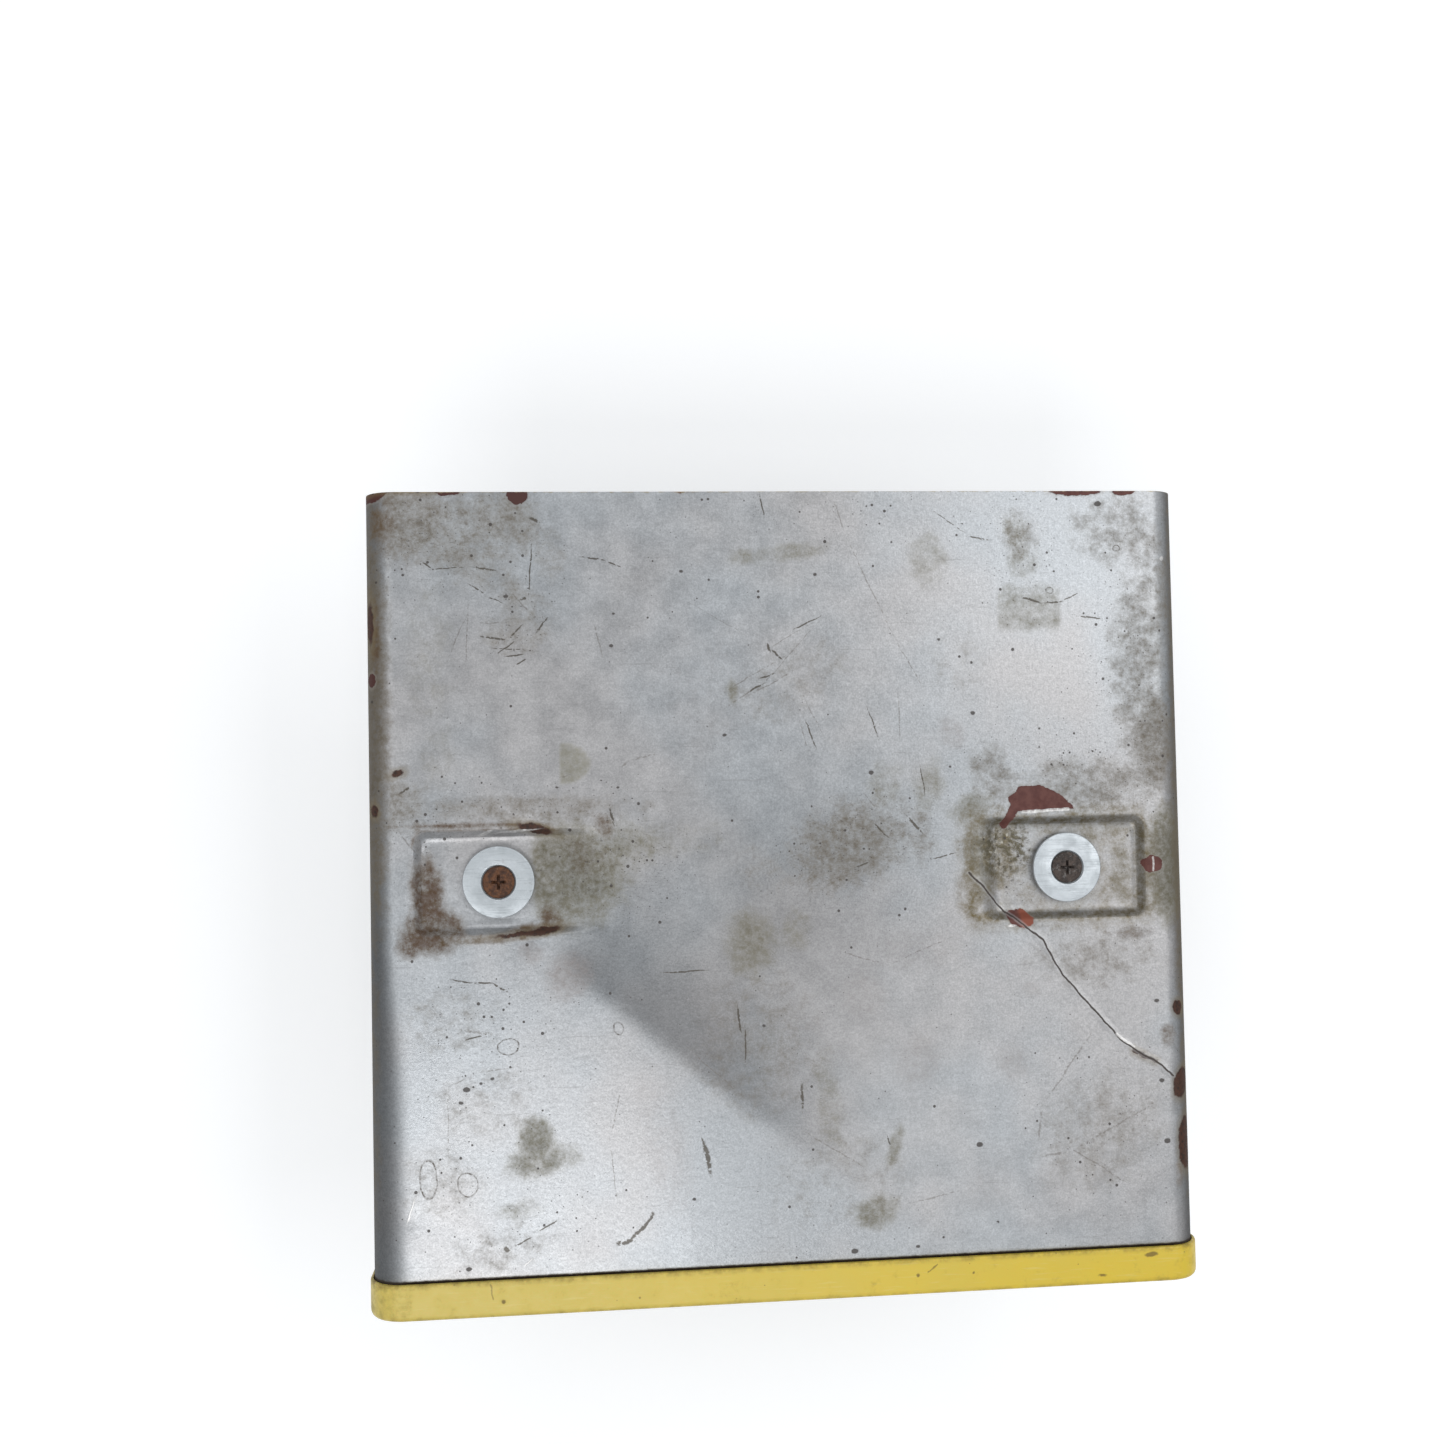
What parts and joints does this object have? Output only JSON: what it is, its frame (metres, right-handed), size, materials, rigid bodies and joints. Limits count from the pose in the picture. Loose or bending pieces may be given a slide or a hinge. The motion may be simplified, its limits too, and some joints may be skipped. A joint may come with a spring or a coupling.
{
  "type": "mortar hawk",
  "caption": "Square mortar hawk: painted steel board with rolled side edges, plastic front lip, recessed bolted cross bar and unscrewable wooden handle.",
  "frame": {"origin": "the point of the flat working face straight above the handle, on the handle's axis", "axes": "+Z out of the working face, away from the handle; +X along the cross bar, from the left screw to the right one; the plastic lip is on the -Y side"},
  "size_m": [0.3, 0.289, 0.1505],
  "materials": {
    "silver_paint": "worn satin metallic grey paint over red-brown primer",
    "yellow_plastic": "smooth moulded, soiled",
    "zinc_plate": "bright zinc, light scratches",
    "rusty_steel": "rusted, matt",
    "bare_steel": "satin, lightly tarnished",
    "bar_paint": "satin dark grey paint",
    "black_rubber": "matt",
    "dark_foam": "matt closed-cell foam",
    "beech": "oiled, turned",
    "brass": "machined"
  },
  "bodies": {
    "head": {"plate": "silver_paint", "edge_cap": "yellow_plastic", "cap_screw_1": "bare_steel", "cap_screw_2": "bare_steel", "cap_screw_3": "bare_steel", "cap_screw_4": "bare_steel", "penny_washer_left": "zinc_plate", "penny_washer_right": "zinc_plate", "sealing_washer_left": "black_rubber", "sealing_washer_right": "black_rubber", "well_screw_left": "rusty_steel", "well_screw_right": "rusty_steel", "cross_bar": "bar_paint", "bar_washer_left": "zinc_plate", "bar_washer_right": "zinc_plate", "spring_washer_left": "zinc_plate", "spring_washer_right": "zinc_plate", "hex_nut_left": "zinc_plate", "hex_nut_right": "zinc_plate", "handle_flange": "bare_steel", "flange_rivet_1": "bare_steel", "flange_rivet_2": "bare_steel", "flange_rivet_3": "bare_steel", "flange_rivet_4": "bare_steel", "handle_stud": "bare_steel"},
    "pad": {"hand_pad": "dark_foam", "thrust_washer": "bare_steel"},
    "handle": {"ferrule": "bare_steel", "grip": "beech", "thread_insert": "brass", "pommel_cap": "bare_steel", "pommel_screw": "bare_steel"}
  },
  "joints": [
    {"name": "handle_drop", "type": "slide", "parent": "head", "child": "pad", "axis": [0, 0, -1], "range_m": [0, 0.02275]},
    {"name": "handle_unscrew", "type": "hinge", "parent": "pad", "child": "handle", "pos_m": [0, 0, -0.0285], "axis": [0, 0, -1], "range_deg": [0, 4681]}
  ],
  "couplings": [
    {"joint": "handle_unscrew", "follows": "handle_drop", "rad_per_m": 3590.4}
  ]
}
